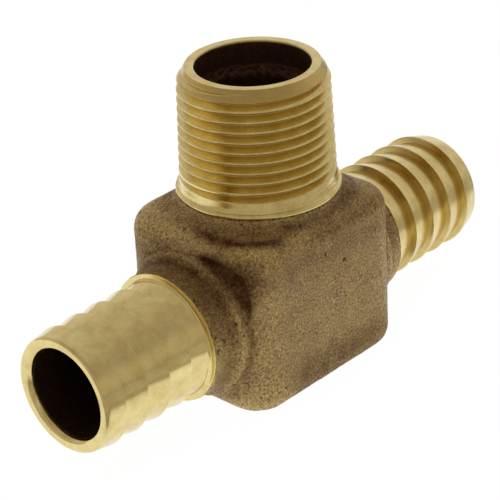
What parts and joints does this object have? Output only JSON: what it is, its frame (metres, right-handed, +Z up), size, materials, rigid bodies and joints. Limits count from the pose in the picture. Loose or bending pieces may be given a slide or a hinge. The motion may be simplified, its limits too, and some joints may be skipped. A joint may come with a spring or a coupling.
{
  "type": "barbed tee connector",
  "caption": "Cast bronze pipe tee with a straight run between hose barbs and a male taper-threaded branch, for joining soft pipe to a threaded outlet.",
  "frame": {"origin": "middle of the body's flat underside, below the crossing of the run and the branch", "axes": "+X along the run towards the right barb, +Y across the run, +Z up along the branch"},
  "size_m": [0.0972, 0.0312, 0.0558],
  "materials": {
    "cast_bronze": "rough sand-cast brown bronze",
    "turned_brass": "bright turned straw-yellow brass",
    "filler_metal": "smooth braze filler"
  },
  "bodies": {
    "root": {"cast_body": "cast_bronze", "left_barb": "turned_brass", "right_barb": "turned_brass", "threaded_nipple": "turned_brass", "left_braze_ring": "filler_metal", "right_braze_ring": "filler_metal", "branch_braze_ring": "filler_metal"}
  },
  "joints": []
}
